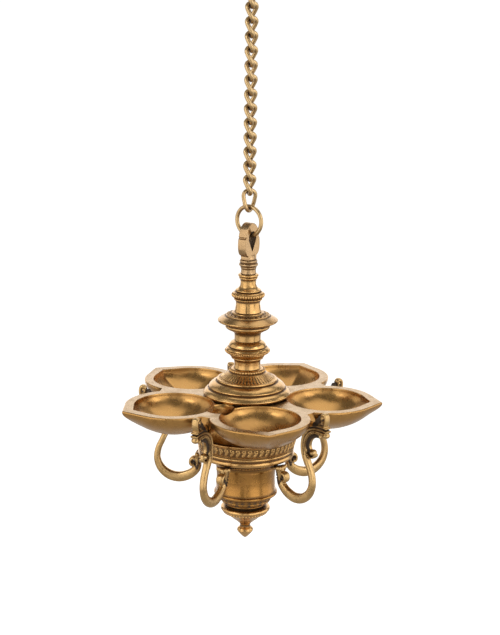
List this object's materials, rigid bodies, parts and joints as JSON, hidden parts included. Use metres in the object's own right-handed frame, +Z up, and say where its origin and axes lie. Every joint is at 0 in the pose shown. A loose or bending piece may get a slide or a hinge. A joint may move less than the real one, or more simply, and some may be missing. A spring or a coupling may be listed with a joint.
{
  "type": "sanctuary lamp",
  "caption": "Hanging brass oil lamp: hook, curb chain and ring carry a turned spindle, a tray of pointed open oil wells and a hub with scroll brackets.",
  "frame": {"origin": "inside top of the top hook, where the lamp hangs", "axes": "+Z up along the chain and spindle; +Y towards one petal's tip; the ring lies in the XZ plane"},
  "size_m": [0.1998, 0.1942, 0.4882],
  "materials": {
    "cast_brass": "aged satin casting",
    "turned_brass": "turned, lightly aged",
    "wire_brass": "dull drawn wire",
    "inner_brass": "plain, unpolished"
  },
  "bodies": {
    "hook": {"top_hook": "wire_brass"},
    "link_01": {"link_01": "wire_brass"},
    "link_02": {"link_02": "wire_brass"},
    "link_03": {"link_03": "wire_brass"},
    "link_04": {"link_04": "wire_brass"},
    "link_05": {"link_05": "wire_brass"},
    "link_06": {"link_06": "wire_brass"},
    "link_07": {"link_07": "wire_brass"},
    "link_08": {"link_08": "wire_brass"},
    "link_09": {"link_09": "wire_brass"},
    "link_10": {"link_10": "wire_brass"},
    "link_11": {"link_11": "wire_brass"},
    "link_12": {"link_12": "wire_brass"},
    "link_13": {"link_13": "wire_brass"},
    "link_14": {"link_14": "wire_brass"},
    "link_15": {"link_15": "wire_brass"},
    "link_16": {"link_16": "wire_brass"},
    "ring": {"suspension_ring": "wire_brass"},
    "lamp": {"eye_finial": "turned_brass", "upper_baluster": "turned_brass", "saucer": "turned_brass", "lower_disc": "turned_brass", "bell_base": "turned_brass", "tie_rod": "inner_brass", "oil_tray": "cast_brass", "hub_collar": "turned_brass", "hub_barrel": "turned_brass", "finial_flange": "turned_brass", "finial_tip": "turned_brass", "bracket_1": "cast_brass", "bracket_2": "cast_brass", "bracket_3": "cast_brass", "bracket_4": "cast_brass", "bracket_5": "cast_brass", "bracket_pin_1": "inner_brass", "bracket_pin_2": "inner_brass", "bracket_pin_3": "inner_brass", "bracket_pin_4": "inner_brass", "bracket_pin_5": "inner_brass"}
  },
  "joints": [
    {"name": "link_01_swing", "type": "hinge", "parent": "hook", "child": "link_01", "pos_m": [0, 0, -0.0498], "axis": [-0.7071, 0.7071, 0], "range_deg": [-20, 20]},
    {"name": "link_02_swing", "type": "hinge", "parent": "link_01", "child": "link_02", "pos_m": [0, 0, -0.0566], "axis": [0.7071, 0.7071, 0], "range_deg": [-20, 20]},
    {"name": "link_03_swing", "type": "hinge", "parent": "link_02", "child": "link_03", "pos_m": [0, 0, -0.0708], "axis": [0.7071, -0.7071, 0], "range_deg": [-20, 20]},
    {"name": "link_04_swing", "type": "hinge", "parent": "link_03", "child": "link_04", "pos_m": [0, 0, -0.078], "axis": [-0.7071, -0.7071, 0], "range_deg": [-20, 20]},
    {"name": "link_05_swing", "type": "hinge", "parent": "link_04", "child": "link_05", "pos_m": [0, 0, -0.0922], "axis": [-0.7071, 0.7071, 0], "range_deg": [-20, 20]},
    {"name": "link_06_swing", "type": "hinge", "parent": "link_05", "child": "link_06", "pos_m": [0, 0, -0.0994], "axis": [0.7071, 0.7071, 0], "range_deg": [-20, 20]},
    {"name": "link_07_swing", "type": "hinge", "parent": "link_06", "child": "link_07", "pos_m": [0, 0, -0.1136], "axis": [0.7071, -0.7071, 0], "range_deg": [-20, 20]},
    {"name": "link_08_swing", "type": "hinge", "parent": "link_07", "child": "link_08", "pos_m": [0, 0, -0.1208], "axis": [-0.7071, -0.7071, 0], "range_deg": [-20, 20]},
    {"name": "link_09_swing", "type": "hinge", "parent": "link_08", "child": "link_09", "pos_m": [0, 0, -0.135], "axis": [-0.7071, 0.7071, 0], "range_deg": [-20, 20]},
    {"name": "link_10_swing", "type": "hinge", "parent": "link_09", "child": "link_10", "pos_m": [0, 0, -0.1422], "axis": [0.7071, 0.7071, 0], "range_deg": [-20, 20]},
    {"name": "link_11_swing", "type": "hinge", "parent": "link_10", "child": "link_11", "pos_m": [0, 0, -0.1564], "axis": [0.7071, -0.7071, 0], "range_deg": [-20, 20]},
    {"name": "link_12_swing", "type": "hinge", "parent": "link_11", "child": "link_12", "pos_m": [0, 0, -0.1636], "axis": [-0.7071, -0.7071, 0], "range_deg": [-20, 20]},
    {"name": "link_13_swing", "type": "hinge", "parent": "link_12", "child": "link_13", "pos_m": [0, 0, -0.1778], "axis": [-0.7071, 0.7071, 0], "range_deg": [-20, 20]},
    {"name": "link_14_swing", "type": "hinge", "parent": "link_13", "child": "link_14", "pos_m": [0, 0, -0.185], "axis": [0.7071, 0.7071, 0], "range_deg": [-20, 20]},
    {"name": "link_15_swing", "type": "hinge", "parent": "link_14", "child": "link_15", "pos_m": [0, 0, -0.1992], "axis": [0.7071, -0.7071, 0], "range_deg": [-20, 20]},
    {"name": "link_16_swing", "type": "hinge", "parent": "link_15", "child": "link_16", "pos_m": [0, 0, -0.2065], "axis": [-0.7071, -0.7071, 0], "range_deg": [-20, 20]},
    {"name": "ring_swing", "type": "hinge", "parent": "link_16", "child": "ring", "pos_m": [0, 0, -0.2227], "axis": [0, 1, 0], "range_deg": [-35, 35]},
    {"name": "lamp_swing", "type": "hinge", "parent": "ring", "child": "lamp", "pos_m": [0, 0, -0.2416], "axis": [1, 0, 0], "range_deg": [-50, 50]}
  ]
}
